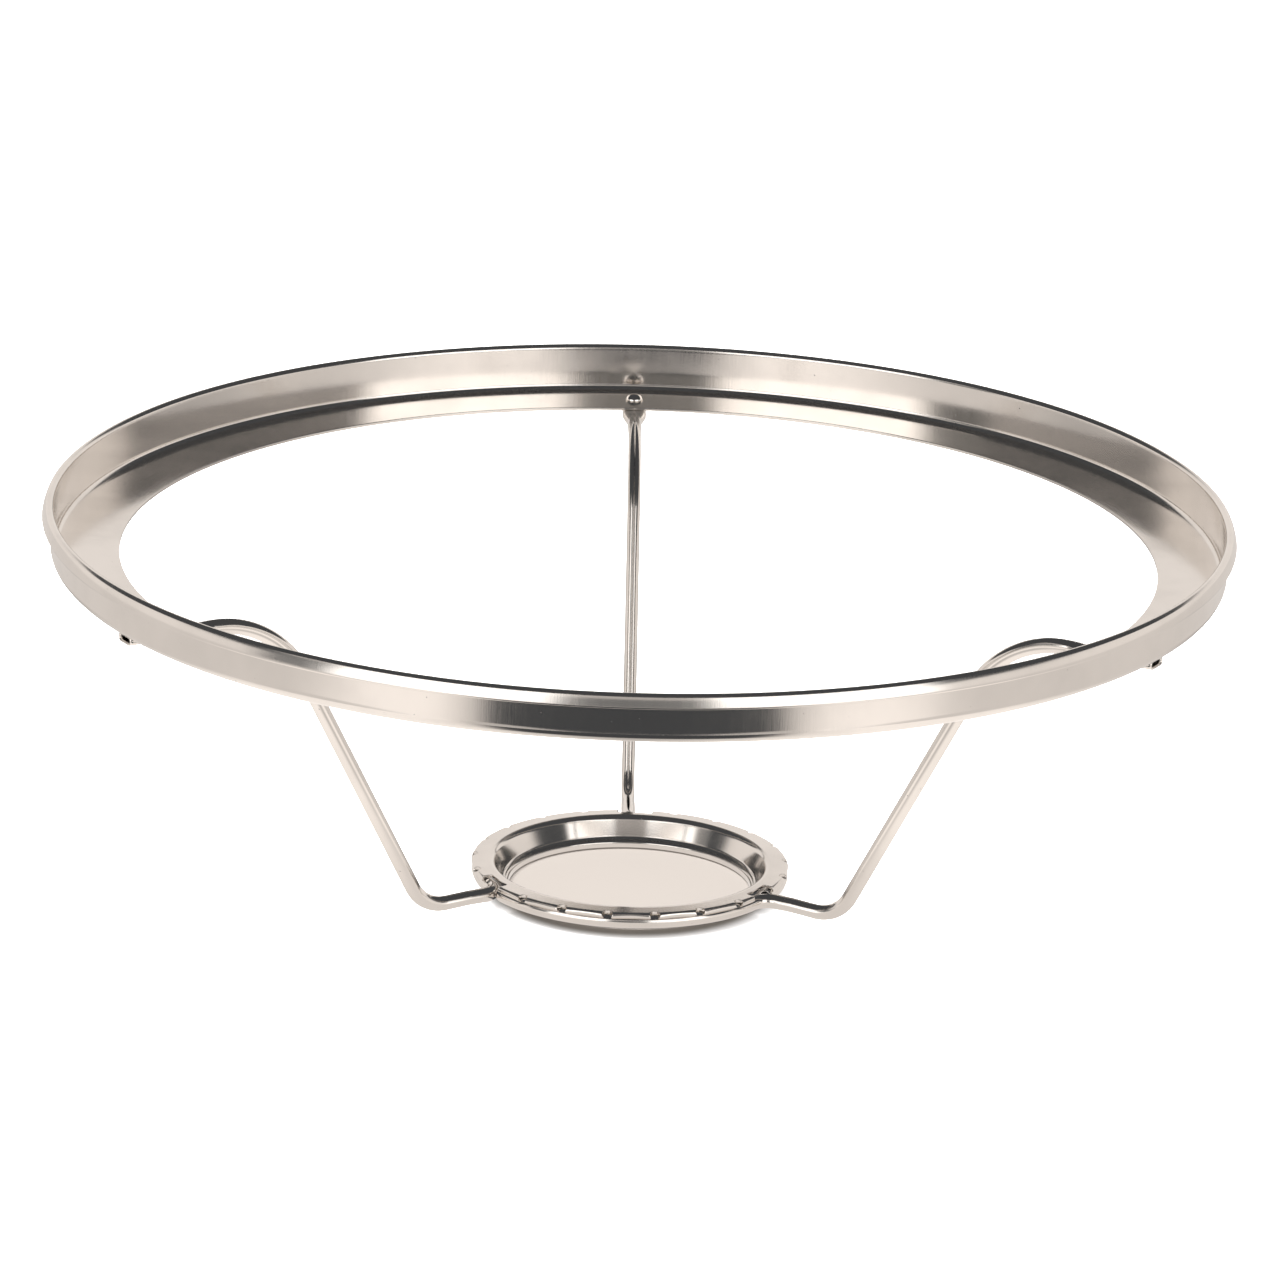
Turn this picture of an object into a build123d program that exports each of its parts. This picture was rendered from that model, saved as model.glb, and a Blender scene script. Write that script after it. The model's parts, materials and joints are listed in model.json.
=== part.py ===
"""Tripod shade holder for an oil lamp.

A wide curled ring holds the glass shade. Three arms, each rolled from sheet into a tube, carry
the ring. Every arm also runs a third of the way round under the burner ring, whose edge is
crimped over it. Millimetres, +Z up, origin on the lamp axis at the burner ring's underside.
"""

from build123d import *

import os
from math import asin, atan2, cos, degrees, sin, sqrt, tan

os.makedirs("parts", exist_ok=True)

ARM_AZIMUTHS = {"back": 91, "left": 211, "right": 331}  # degrees, counter-clockwise from +X

# Shade ring
SEAT_RADIUS = 126.4         # inner wall that surrounds the foot of the glass
FLANGE_HOLE_RADIUS = 112.2  # inner edge of the flange that the glass stands on
RING_SHEET = 0.7
RING_BEND = 1.2             # inside radius between flange and wall
FLANGE_INNER_Z = 76.2       # flange's upper face at its inner edge
FLANGE_OUTER_Z = 76.4       # flange's upper face, produced to the wall
RIM_TOP = 86.8
CURL_RADIUS = 1.3           # over the top of the curl
TUCK_RADIUS = 1.0           # where the curl turns back in to the wall
CURL_DROP = 3.1             # height of the curl
CURL_GAP = 0.1              # between the curl's free edge and the wall

# Burner ring
BURNER_HOLE_RADIUS = 26.4
BASE_SHEET = 0.6
LIP_EDGE_Z = 0.5            # lip's upper face at the hole
LIP_CORNER = (27.75, 1.5)   # lip and sloping wall, produced to their corner
WALL_CORNER = (29.9, 6.35)  # wall and flange
FOLD_CORNER = (34.9, 6.1)   # flange and crimped edge
CRIMP_BOTTOM = 5.1
LIP_BEND = 0.7
WALL_BEND = 1.4
FOLD_BEND = 0.9
NOTCH_RADIUS = 1.15
NOTCH_DEPTH = 2.2
NOTCH_TILT = 45             # degrees, through the fold
NOTCHES_PER_SECTOR = 6
SLOT_WIDTH = 7.6            # gap in the crimped edge where an arm comes out
SLOT_INNER_RADIUS = 32.2
SLOT_LEAD = 2.5             # degrees that a slot is turned towards its arm's hoop

# Arms
TUBE_RADIUS = 1.6
TUBE_WALL = 0.4
HOOP_RADIUS = 33.0
HOOP_Z = 3.85
ROOT_BEND = 4.0             # from the hoop to the run that leaves the ring
ROOT_DIP_BEND = 12.0        # where that run starts to dip
LEVEL_RUN = 3.7             # length of the run before it dips
SEAM_ANGLE = 2.4            # degrees past an arm where the next arm's hoop starts
FOOT_CORNER = (51.8, 3.3)   # lower run and slope, produced to their corner
KNEE_CORNER = (89.4, 74.4)  # slope and upper run
FOOT_BEND = 9.0
KNEE_BEND = 25.0

# Flattened end of an arm, under the shade ring's flange
FLARE_START = 104.5
FLARE_END = 112.0
TAB_END = 125.2
TAB_WIDTH = 5.5
TAB_DEPTH = 2.0
TAB_CORNER = 0.9

# Rivets
RIVET_RADIAL = 118.5
SHANK_RADIUS = 1.25
HEAD_RADIUS = 1.95
HEAD_HEIGHT = 1.4
TAIL_RADIUS = 1.8
TAIL_HEIGHT = 0.4

CUTTER = 100.0              # reaches past anything that it cuts

# Worked out
flange_slope = atan2(FLANGE_OUTER_Z - FLANGE_INNER_Z, SEAT_RADIUS - FLANGE_HOLE_RADIUS)
lip_slope = (LIP_CORNER[1] - LIP_EDGE_Z) / (LIP_CORNER[0] - BURNER_HOLE_RADIUS)
sector = 360 / len(ARM_AZIMUTHS)
notch_pitch = sector / (NOTCHES_PER_SECTOR + 1)
root_exit = sqrt((HOOP_RADIUS + ROOT_BEND) ** 2 - ROOT_BEND**2)
root_angle = degrees(asin(ROOT_BEND / (HOOP_RADIUS + ROOT_BEND)))
hoop_start = SEAM_ANGLE - sector
rivet_grip = RING_SHEET + TAB_DEPTH
dome_radius = (HEAD_RADIUS**2 + HEAD_HEIGHT**2) / (2 * HEAD_HEIGHT)


def flange_top(radius):
    """Height of the shade flange's upper face at a radius."""
    return FLANGE_INNER_Z + (radius - FLANGE_HOLE_RADIUS) * tan(flange_slope)


def flange_plane(radius, azimuth=0.0, depth=0.0):
    """Plane parallel to the flange's upper face at one spot, at a depth below it."""
    along = Vector(cos(flange_slope), 0, sin(flange_slope))
    normal = Vector(-sin(flange_slope), 0, cos(flange_slope))
    spot = Vector(radius, 0, flange_top(radius)) - normal * depth
    turned = [direction.rotate(Axis.Z, azimuth) for direction in (spot, along, normal)]
    return Plane(turned[0], x_dir=turned[1], z_dir=turned[2])


def across_tab(radius):
    """Plane square to a flattened arm end, centred on its depth, at azimuth 0."""
    level = flange_plane(radius, depth=RING_SHEET + TAB_DEPTH / 2)
    return Plane(level.origin, x_dir=(0, 1, 0), z_dir=level.x_dir)


# Shade ring: flange, wall and curled rim in one strip of sheet
with BuildPart() as shade_ring:
    with BuildSketch(Plane.XZ):
        with BuildLine():
            curl_outer = SEAT_RADIUS + 2 * CURL_RADIUS
            curl_bottom = RIM_TOP - CURL_DROP
            curl_z = RIM_TOP - CURL_RADIUS
            tuck_z = curl_bottom + TUCK_RADIUS
            back_drop = RING_SHEET / cos(flange_slope)
            wall_back = SEAT_RADIUS + RING_SHEET
            inside = FilletPolyline(
                (FLANGE_HOLE_RADIUS, FLANGE_INNER_Z),
                (SEAT_RADIUS, FLANGE_OUTER_Z),
                (SEAT_RADIUS, curl_z),
                radius=RING_BEND,
            )
            over = ThreePointArc(
                inside @ 1, (SEAT_RADIUS + CURL_RADIUS, RIM_TOP), (curl_outer, curl_z)
            )
            face = Line(over @ 1, (curl_outer, tuck_z))
            tuck = RadiusArc(face @ 1, (curl_outer - TUCK_RADIUS, curl_bottom), TUCK_RADIUS)
            edge = Polyline(
                tuck @ 1,
                (wall_back + CURL_GAP, curl_bottom),
                (wall_back + CURL_GAP, curl_bottom + RING_SHEET),
                (curl_outer - TUCK_RADIUS, curl_bottom + RING_SHEET),
            )
            tuck_back = RadiusArc(
                edge @ 1, (curl_outer - RING_SHEET, tuck_z), RING_SHEET - TUCK_RADIUS
            )
            face_back = Line(tuck_back @ 1, (curl_outer - RING_SHEET, curl_z))
            over_back = ThreePointArc(
                face_back @ 1,
                (SEAT_RADIUS + CURL_RADIUS, RIM_TOP - RING_SHEET),
                (wall_back, curl_z),
            )
            outside = FilletPolyline(
                over_back @ 1,
                (wall_back, flange_top(wall_back) - back_drop),
                (FLANGE_HOLE_RADIUS, FLANGE_INNER_Z - back_drop),
                radius=RING_BEND + RING_SHEET,
            )
            Line(outside @ 1, inside @ 0)
        make_face()
    revolve(axis=Axis.Z)
    with Locations(*[flange_plane(RIVET_RADIAL, azimuth) for azimuth in ARM_AZIMUTHS.values()]):
        Cylinder(SHANK_RADIUS, 4 * RING_SHEET, mode=Mode.SUBTRACT)
shade_ring.part.label = "shade_ring"
export_step(shade_ring.part, "parts/shade_ring.step")

# Burner ring: pressed ring with a sloping wall, its edge crimped down over the hoops
with BuildPart() as base_ring:
    with BuildSketch(Plane.XZ):
        with BuildLine():
            FilletPolyline(
                (BURNER_HOLE_RADIUS - BASE_SHEET, LIP_EDGE_Z - BASE_SHEET * lip_slope),
                LIP_CORNER,
                WALL_CORNER,
                FOLD_CORNER,
                (FOLD_CORNER[0], CRIMP_BOTTOM),
                radius=(LIP_BEND, WALL_BEND, FOLD_BEND),
            )
            offset(amount=BASE_SHEET, side=Side.RIGHT)
        make_face()
        with Locations((BURNER_HOLE_RADIUS, 0)):
            Rectangle(CUTTER, CUTTER, align=(Align.MIN, Align.MIN), mode=Mode.INTERSECT)
    revolve(axis=Axis.Z)
    for arm_azimuth in ARM_AZIMUTHS.values():
        with PolarLocations(SLOT_INNER_RADIUS, 1, start_angle=arm_azimuth - SLOT_LEAD):
            Box(
                CUTTER,
                SLOT_WIDTH,
                CUTTER,
                align=(Align.MIN, Align.CENTER, Align.CENTER),
                mode=Mode.SUBTRACT,
            )
        for step in range(1, NOTCHES_PER_SECTOR + 1):
            with Locations(Location((0, 0, 0), (0, 0, arm_azimuth + step * notch_pitch))):
                with Locations(Location((FOLD_CORNER[0], 0, FOLD_CORNER[1]), (0, NOTCH_TILT, 0))):
                    Cylinder(NOTCH_RADIUS, 2 * NOTCH_DEPTH, mode=Mode.SUBTRACT)
base_ring.part.label = "base_ring"
export_step(base_ring.part, "parts/base_ring.step")

# One arm at azimuth 0: hoop, root bend, foot, slope, knee and flattened end, hollow throughout
with BuildPart() as arm:
    with BuildLine():
        hoop = CenterArc((0, 0, HOOP_Z), HOOP_RADIUS, hoop_start, -root_angle - hoop_start)
        root = CenterArc(
            (root_exit, -ROOT_BEND, HOOP_Z), ROOT_BEND, 180 - root_angle, root_angle - 90
        )
        FilletPolyline(
            root @ 1,
            (root_exit + LEVEL_RUN, 0, HOOP_Z),
            (FOOT_CORNER[0], 0, FOOT_CORNER[1]),
            (KNEE_CORNER[0], 0, KNEE_CORNER[1]),
            (FLARE_START, 0, KNEE_CORNER[1]),
            radius=(ROOT_DIP_BEND, FOOT_BEND, KNEE_BEND),
        )
    with BuildSketch(Plane(hoop @ 0, z_dir=hoop % 0)):
        Circle(TUBE_RADIUS)
        Circle(TUBE_RADIUS - TUBE_WALL, mode=Mode.SUBTRACT)
    sweep()
    for inset, mode in ((0, Mode.ADD), (TUBE_WALL, Mode.SUBTRACT)):
        tab_section = (TAB_WIDTH - 2 * inset, TAB_DEPTH - 2 * inset, TAB_CORNER - inset)
        with BuildSketch(Plane((FLARE_START, 0, KNEE_CORNER[1]), x_dir=(0, 1, 0), z_dir=(1, 0, 0))):
            Circle(TUBE_RADIUS - inset)
        with BuildSketch(across_tab(FLARE_END)):
            RectangleRounded(*tab_section)
        loft(mode=mode)
        with BuildSketch(across_tab(FLARE_END)):
            RectangleRounded(*tab_section)
        extrude(amount=TAB_END - FLARE_END, mode=mode)
    with Locations(flange_plane(RIVET_RADIAL, depth=RING_SHEET + TAB_DEPTH / 2)):
        Cylinder(SHANK_RADIUS, 2 * TAB_DEPTH, mode=Mode.SUBTRACT)

# One rivet, standing on the flange plane: domed head, shank and spread tail
with BuildPart() as rivet:
    with BuildSketch(Plane.XZ):
        with BuildLine():
            dome = RadiusArc((0, HEAD_HEIGHT), (HEAD_RADIUS, 0), dome_radius)
            Polyline(
                dome @ 1,
                (SHANK_RADIUS, 0),
                (SHANK_RADIUS, -rivet_grip),
                (TAIL_RADIUS, -rivet_grip),
                (TAIL_RADIUS, -rivet_grip - TAIL_HEIGHT),
                (0, -rivet_grip - TAIL_HEIGHT),
                dome @ 0,
            )
        make_face()
    revolve(axis=Axis.Z)

for name, azimuth in ARM_AZIMUTHS.items():
    with BuildPart() as placed_arm:
        add(arm.part, rotation=(0, 0, azimuth))
    placed_arm.part.label = "arm_" + name
    export_step(placed_arm.part, "parts/arm_" + name + ".step")

    with BuildPart() as placed_rivet:
        with Locations(flange_plane(RIVET_RADIAL, azimuth)):
            add(rivet.part)
    placed_rivet.part.label = "rivet_" + name
    export_step(placed_rivet.part, "parts/rivet_" + name + ".step")
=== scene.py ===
"""Tripod shade holder for an oil lamp: its looks.

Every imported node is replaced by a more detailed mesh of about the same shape: it adds the arms'
open seams, the lip's turned-down edge and the step in the wide ring's wall. All objects are in
metres, in the frame's axes. The lengths below are in millimetres, and MM turns them into metres.
"""

import json
from math import asin, atan2, cos, hypot, pi, radians, sin, sqrt, tan

import bpy
import numpy as np
from mathutils import Matrix, Quaternion, Vector


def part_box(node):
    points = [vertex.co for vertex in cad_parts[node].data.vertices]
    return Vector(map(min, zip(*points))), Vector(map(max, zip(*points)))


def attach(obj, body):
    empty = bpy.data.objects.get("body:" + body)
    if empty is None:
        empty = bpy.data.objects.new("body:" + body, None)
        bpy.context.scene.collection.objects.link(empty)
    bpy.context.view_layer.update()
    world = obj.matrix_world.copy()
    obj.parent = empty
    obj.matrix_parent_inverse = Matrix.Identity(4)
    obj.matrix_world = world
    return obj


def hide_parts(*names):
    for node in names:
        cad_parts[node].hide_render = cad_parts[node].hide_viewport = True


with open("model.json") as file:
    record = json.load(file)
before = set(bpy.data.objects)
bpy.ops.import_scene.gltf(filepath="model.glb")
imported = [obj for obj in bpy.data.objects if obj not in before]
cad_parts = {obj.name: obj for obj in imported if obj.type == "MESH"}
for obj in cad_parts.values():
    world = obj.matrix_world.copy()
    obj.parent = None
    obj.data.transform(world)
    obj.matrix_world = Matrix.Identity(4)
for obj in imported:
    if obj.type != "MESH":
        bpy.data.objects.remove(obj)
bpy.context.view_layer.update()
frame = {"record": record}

MM = 0.001
TURN = 2 * pi

# Shade ring, and how its section is drawn
RING_SHEET = 0.7
RING_BEND = 1.4             # inside, between flange and wall
FLANGE_HOLE_RADIUS = 112.2
FLANGE_INNER_Z = 76.2       # flange's upper face at its inner edge
FLANGE_OUTER_Z = 76.4       # flange's upper face, produced to the wall
RIM_BEND = 1.03             # over the top of the rim
FACE_TOP_LEAN = radians(24) # how far the curl's face looks up, at its top and at its foot
FACE_FOOT_LEAN = radians(9)
FACE_BEND = 8.4
CURL_TUCK_BEND = 0.35
CURL_EDGE_RADIUS = 127.2    # the curl's free edge, under the rim
CURL_SHEET = 0.3            # the curl is drawn thinner towards its tight tuck
CURL_SHEET_INSET = 0.2      # and is that thin from this far inside the rim's radius outwards
STEP_Z = 78.0               # a fine step pressed into the wall's outer face
STEP_HEIGHT = 0.35
STEP_DEPTH = 0.06
STEP_RUN_IN = 0.4           # the bend below the wall takes the step on over this radius
CURVE_STEP = 0.12           # between points round a bend, here and on the rivets
CUT_EDGE = 0.12             # rounding of the strip's cut edges
RING_SEGMENTS = 540

# Burner ring
BASE_SHEET = 0.6
LIP_TOP = 1.5               # the lip is level here, and turned down at the hole
LIP_CORNER = (27.75, 1.5)
WALL_CORNER = (29.9, 6.35)
FOLD_CORNER = (34.9, 6.1)
CRIMP_BOTTOM = 5.1
BASE_BENDS = (0.65, 0.85, 1.4, 0.9)
NOTCH_RADIUS = 1.15
NOTCH_TILT = radians(45)
NOTCHES_PER_SECTOR = 6
NOTCH_SEARCH = 2.0          # how far before the fold a notch's top is looked for
NOTCH_SAMPLES = 400
NOTCH_TOP_GAP = 0.002       # parts the point over a notch from its sides
NOTCH_CELL = 2.1            # half the width of the patch of mesh round a notch
NOTCH_COLUMNS = 12
SLOT_HALF_WIDTH = 3.8
SLOT_INNER_RADIUS = 32.2
SLOT_CORNER = 0.7
SLOT_CELL = 5.1
SLOT_COLUMNS = 28
SLOT_LEAD = radians(2.5)    # a slot is turned towards its arm's hoop
TAB_FLAT = 0.75             # how far the crimped tabs are flattened, 1 is a straight chord
TAB_UNEVEN = 0.05           # half the most that one tab is pressed in past another
TAB_RHYTHM = 2.3
BASE_STEP = 0.14
BASE_COLUMN = 0.42          # width of a plain column of its mesh
CELL_MARGIN = 0.45          # of plain mesh over a notch or slot, in its patch
CELL_RINGS = 4
BASE_EDGE = 0.09            # rounding of the cut edges

# Arms
TUBE_RADIUS = 1.6
TUBE_WALL = 0.4
OVAL_DEPTH = 1.06           # the slope's tube is a little deeper than it is wide
OVAL_WIDTH = 0.92
HOOP_RADIUS = 33.0
HOOP_Z = 3.85
ROOT_BEND = 4.0
ROOT_DIP_BEND = 12.0
LEVEL_RUN = 3.7
SEAM_ANGLE = radians(2.4)   # past an arm, where the next arm's hoop starts
FOOT_CORNER = (51.8, 3.3)
KNEE_CORNER = (89.4, 74.4)
FOOT_BEND = 9.0
KNEE_BEND = 25.0
FLARE_START = 104.5
FLARE_END = 112.0
TAB_END = 125.2
TAB_WIDTH = 5.5
TAB_DEPTH = 2.0
TAB_CORNER = 0.9
SEAM_GAP = 0.03             # the open seam along a rolled tube
SEAM_GAP_AT_ROOT = 0.5
SEAM_LIP = 0.03
SEAM_CLEAR = 1.6            # the outline's even points start this many lips from the seam
ROOT_SEAM_OPENS = (-4, 2)   # along the arm from its root, where the seam widens and closes
ROOT_SEAM_CLOSES = (4, 14)
OVAL_RUN_OUT = 6            # the oval turns round again over this length before the flare
FLARE_OVERRUN = 0.2
LIP_ARC = (0, pi / 4, pi / 2)
TUBE_COLUMNS = 45
HOOP_STEPS = 90
ROOT_STEPS = 14
ROOT_ROW = HOOP_STEPS + ROOT_STEPS - 1
ROUTE_STEP = 0.45
FLARE_STEPS = 12
TAB_STEPS = 18

# Rivets
SHANK_RADIUS = 1.25
HEAD_RADIUS = 1.95
HEAD_HEIGHT = 1.4
TAIL_RADIUS = 1.8
TAIL_HEIGHT = 0.4
RIVET_BENDS = (0.05, 0.05, 0.15)
HEAD_TIP_ANGLE = 0.02       # radians off the axis, where a small flat face closes the dome
TAIL_TIP_RADIUS = 0.02      # of the small face that closes the tail
HEAD_STEPS = 16
RIVET_SEGMENTS = 48

# Taken from the frame
mounts = {mount["name"]: mount for mount in frame["record"]["mounts"]}
SEAT_RADIUS = mounts["shade_seat"]["dims"]["r_mm"]
BURNER_HOLE_RADIUS = mounts["burner_hole"]["dims"]["r_mm"]
ring_low, ring_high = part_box("shade_ring")
RIM_RADIUS = min(ring_high.x, ring_high.y, -ring_low.x, -ring_low.y) / MM
RIM_TOP = ring_high.z / MM
ARMS = ("back", "left", "right")


def node_centre(node):
    """Middle of a CAD node's box, in metres."""
    low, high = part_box(node)
    return (low + high) / 2


rivet_centres = {arm: node_centre("rivet_" + arm) for arm in ARMS}
arm_azimuths = {arm: atan2(spot.y, spot.x) for arm, spot in rivet_centres.items()}
flange_slope = atan2(FLANGE_OUTER_Z - FLANGE_INNER_Z, SEAT_RADIUS - FLANGE_HOLE_RADIUS)
flange_along = np.array((cos(flange_slope), 0, sin(flange_slope)))
flange_normal = np.array((-sin(flange_slope), 0, cos(flange_slope)))


def flange_spot(radius, depth=0.0):
    """Point at azimuth 0, a depth under the shade flange's upper face at a radius."""
    top = FLANGE_INNER_Z + (radius - FLANGE_HOLE_RADIUS) * tan(flange_slope)
    return np.array((radius, 0, top)) - flange_normal * depth


# ---------------------------------------------------------------------------- paths and meshes


def bent_path(corners, bends, step):
    """Points along straight runs joined by arcs. bends holds the radius at each inner corner."""
    corners = [np.array(corner, float) for corner in corners]
    points = [corners[0]]
    for before, corner, after, bend in zip(corners, corners[1:], corners[2:], bends):
        way_in = (corner - before) / np.linalg.norm(corner - before)
        way_out = (after - corner) / np.linalg.norm(after - corner)
        turn = np.arccos(np.clip(way_in @ way_out, -1, 1))
        start = corner - way_in * bend * tan(turn / 2)
        inward = way_out - way_in * (way_in @ way_out)
        inward /= np.linalg.norm(inward)
        centre = start + inward * bend
        for angle in np.linspace(0, turn, max(3, round(bend * turn / step)) + 1):
            points.append(centre - inward * bend * cos(angle) + way_in * bend * sin(angle))
    points.append(corners[-1])
    dense = [points[0]]
    for point in points[1:]:
        run = np.linalg.norm(point - dense[-1])
        if run > 1e-6:
            parts = max(1, round(run / (2.5 * step)))
            start = dense[-1]
            dense += [start + (point - start) * k / parts for k in range(1, parts + 1)]
    return np.array(dense)


def directions(points):
    """Unit tangents along a row of points."""
    runs = np.diff(points, axis=0)
    runs /= np.linalg.norm(runs, axis=1)[:, None]
    tangents = np.vstack((runs[:1], runs[1:] + runs[:-1], runs[-1:]))
    return tangents / np.linalg.norm(tangents, axis=1)[:, None]


def lengths(points):
    """Distance along a row of points."""
    return np.concatenate(([0], np.cumsum(np.linalg.norm(np.diff(points, axis=0), axis=1))))


def smooth_step(value, low, high):
    """0 below low, 1 above high, with a smooth rise between them."""
    share = np.clip((value - low) / (high - low), 0, 1)
    return share * share * (3 - 2 * share)


def make_object(name, vertices, faces, uvs):
    """Object in metres from millimetre vertices, with a uv map in metres, one per face corner."""
    mesh = bpy.data.meshes.new(name)
    mesh.from_pydata((np.asarray(vertices) * MM).tolist(), [], faces)
    layer = mesh.uv_layers.new(name="strip")
    layer.data.foreach_set("uv", (np.asarray(uvs) * MM).ravel())
    mesh.polygons.foreach_set("use_smooth", [True] * len(mesh.polygons))
    mesh.validate()
    obj = bpy.data.objects.new(name, mesh)
    bpy.context.scene.collection.objects.link(obj)
    return obj


def grid_faces(rows, columns, close_rows=False, close_columns=False):
    """Quads of a grid of vertices, row by row, and each face corner's (row, column) for its uv."""
    faces = []
    places = []
    for row in range(rows if close_rows else rows - 1):
        for column in range(columns if close_columns else columns - 1):
            corners = ((row, column), (row, column + 1), (row + 1, column + 1), (row + 1, column))
            faces.append([(r % rows) * columns + c % columns for r, c in corners])
            places.extend(corners)
    return faces, places


def section_of_sheet(path, thickness, edge, steps=3):
    """Closed outline of a bent sheet: its face along path, rounded cut edges, and its back.
    thickness is a row of numbers, one for each point of the path."""
    tangents = directions(path)
    backs = np.column_stack((tangents[:, 1], -tangents[:, 0])) * thickness[:, None]

    def cut_edge(point, out, back):
        into = back / np.linalg.norm(back)
        arc = np.linspace(0, pi / 2, steps + 1)
        near = [point - out * edge * (1 - sin(a)) + into * edge * (1 - cos(a)) for a in arc]
        far = [point + back - out * edge * (1 - sin(a)) - into * edge * (1 - cos(a)) for a in arc]
        return near + far[::-1]

    start = cut_edge(path[0], -tangents[0], backs[0])
    end = cut_edge(path[-1], tangents[-1], backs[-1])
    return np.array(list(path[1:-1]) + end + list((path + backs)[1:-1][::-1]) + start[::-1])


def revolved(name, section, segments):
    """Closed mesh of an (r, z) outline turned round the z axis."""
    angles = np.linspace(0, TURN, segments, endpoint=False)
    radii, heights = section[:, 0], section[:, 1]
    vertices = np.stack(
        (
            np.outer(np.cos(angles), radii),
            np.outer(np.sin(angles), radii),
            np.outer(np.ones(segments), heights),
        ),
        axis=2,
    ).reshape(-1, 3)
    faces, places = grid_faces(segments, len(section), close_rows=True, close_columns=True)
    along = lengths(np.vstack((section, section[:1])))
    around = radii.max() * TURN / segments
    return make_object(name, vertices, faces, [(r * around, along[c]) for r, c in places])


def finish_piece(obj, node, material, bevel=0.0):
    """Smooths the shading, hangs the piece under the root body and hides the CAD node it stands in
    for.
    """
    if bevel:
        rounding = obj.modifiers.new("cut_edges", "BEVEL")
        rounding.width = bevel * MM
        rounding.segments = 2
        rounding.limit_method = "ANGLE"
        rounding.angle_limit = radians(45)
        rounding.harden_normals = False
    weighted = obj.modifiers.new("face_area_normals", "WEIGHTED_NORMAL")
    weighted.mode = "FACE_AREA"
    weighted.keep_sharp = False
    obj.data.materials.append(material)
    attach(obj, "root")
    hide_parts(node)
    return obj


# ---------------------------------------------------------------------------- materials


class Graph:
    """A short way to write shader nodes."""

    def __init__(self, tree):
        self.tree = tree
        tree.nodes.clear()

    def node(self, kind, settings=None, **inputs):
        """Adds a node. inputs are socket names, with spaces written as underscores."""
        made = self.tree.nodes.new(kind)
        for key, value in (settings or {}).items():
            setattr(made, key, value)
        for key, value in inputs.items():
            self.feed(made.inputs[key.replace("_", " ")], value)
        return made

    def feed(self, socket, value):
        """Links an output to a socket, or sets the socket's own value."""
        if isinstance(value, bpy.types.NodeSocket):
            self.tree.links.new(value, socket)
        elif value is not None:
            socket.default_value = value

    def math(self, operation, a, b=None, clamp=False):
        """One sum, as the output socket of a Math node."""
        made = self.tree.nodes.new("ShaderNodeMath")
        made.operation = operation
        made.use_clamp = clamp
        self.feed(made.inputs[0], a)
        self.feed(made.inputs[1], b)
        return made.outputs[0]

    def ramp(self, value, low, high, out_low=0.0, out_high=1.0, smooth=True):
        """value's place between low and high, mapped to out_low and out_high."""
        made = self.node(
            "ShaderNodeMapRange",
            {"interpolation_type": "SMOOTHSTEP" if smooth else "LINEAR"},
            Value=value,
            From_Min=low,
            From_Max=high,
            To_Min=out_low,
            To_Max=out_high,
        )
        return made.outputs[0]

    def band(self, value, low, high, soft):
        """1 between low and high, 0 outside, with soft edges."""
        rise = self.ramp(value, low - soft / 2, low + soft / 2)
        fall = self.ramp(value, high - soft / 2, high + soft / 2, 1.0, 0.0)
        return self.math("MULTIPLY", rise, fall)

    def mix(self, share, a, b):
        """Colour a where share is 0, colour b where it is 1."""
        made = self.tree.nodes.new("ShaderNodeMix")
        made.data_type = "RGBA"
        self.feed(made.inputs[0], share)
        self.feed(made.inputs[6], a)
        self.feed(made.inputs[7], b)
        return made.outputs[2]

    def noise(self, vector, scale, detail=2.0, roughness=0.5, distortion=0.0):
        """Value of a noise texture, about 0.5 in the mean."""
        made = self.node(
            "ShaderNodeTexNoise",
            Vector=vector,
            Scale=scale,
            Detail=detail,
            Roughness=roughness,
            Distortion=distortion,
        )
        return made.outputs["Fac"]


def rgb(red, green, blue):
    """Linear colour with alpha."""
    return (red, green, blue, 1.0)


HAIRLINE_SCALE = (3200, 160, 1)     # noise cells per metre round a ring or tube, and the other way
GRAIN_SCALE = 2600.0
PIT_SCALE = 1500.0
HANDLING_SCALE = 55.0
WAVE_SCALE = 26.0
POLISH = (0.075, 0.12)      # roughness where least and most handled
DULL_SHADE = 0.94           # share of the plate's colour that is left where it is handled
PIT_SHADE = 0.45            # and in a pit
PIT_ROUGHNESS = 0.25
HAIR_ROUGHNESS = 0.12
RELIEF = 3.5e-6             # metres, of hairlines, grain and pits


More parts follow.
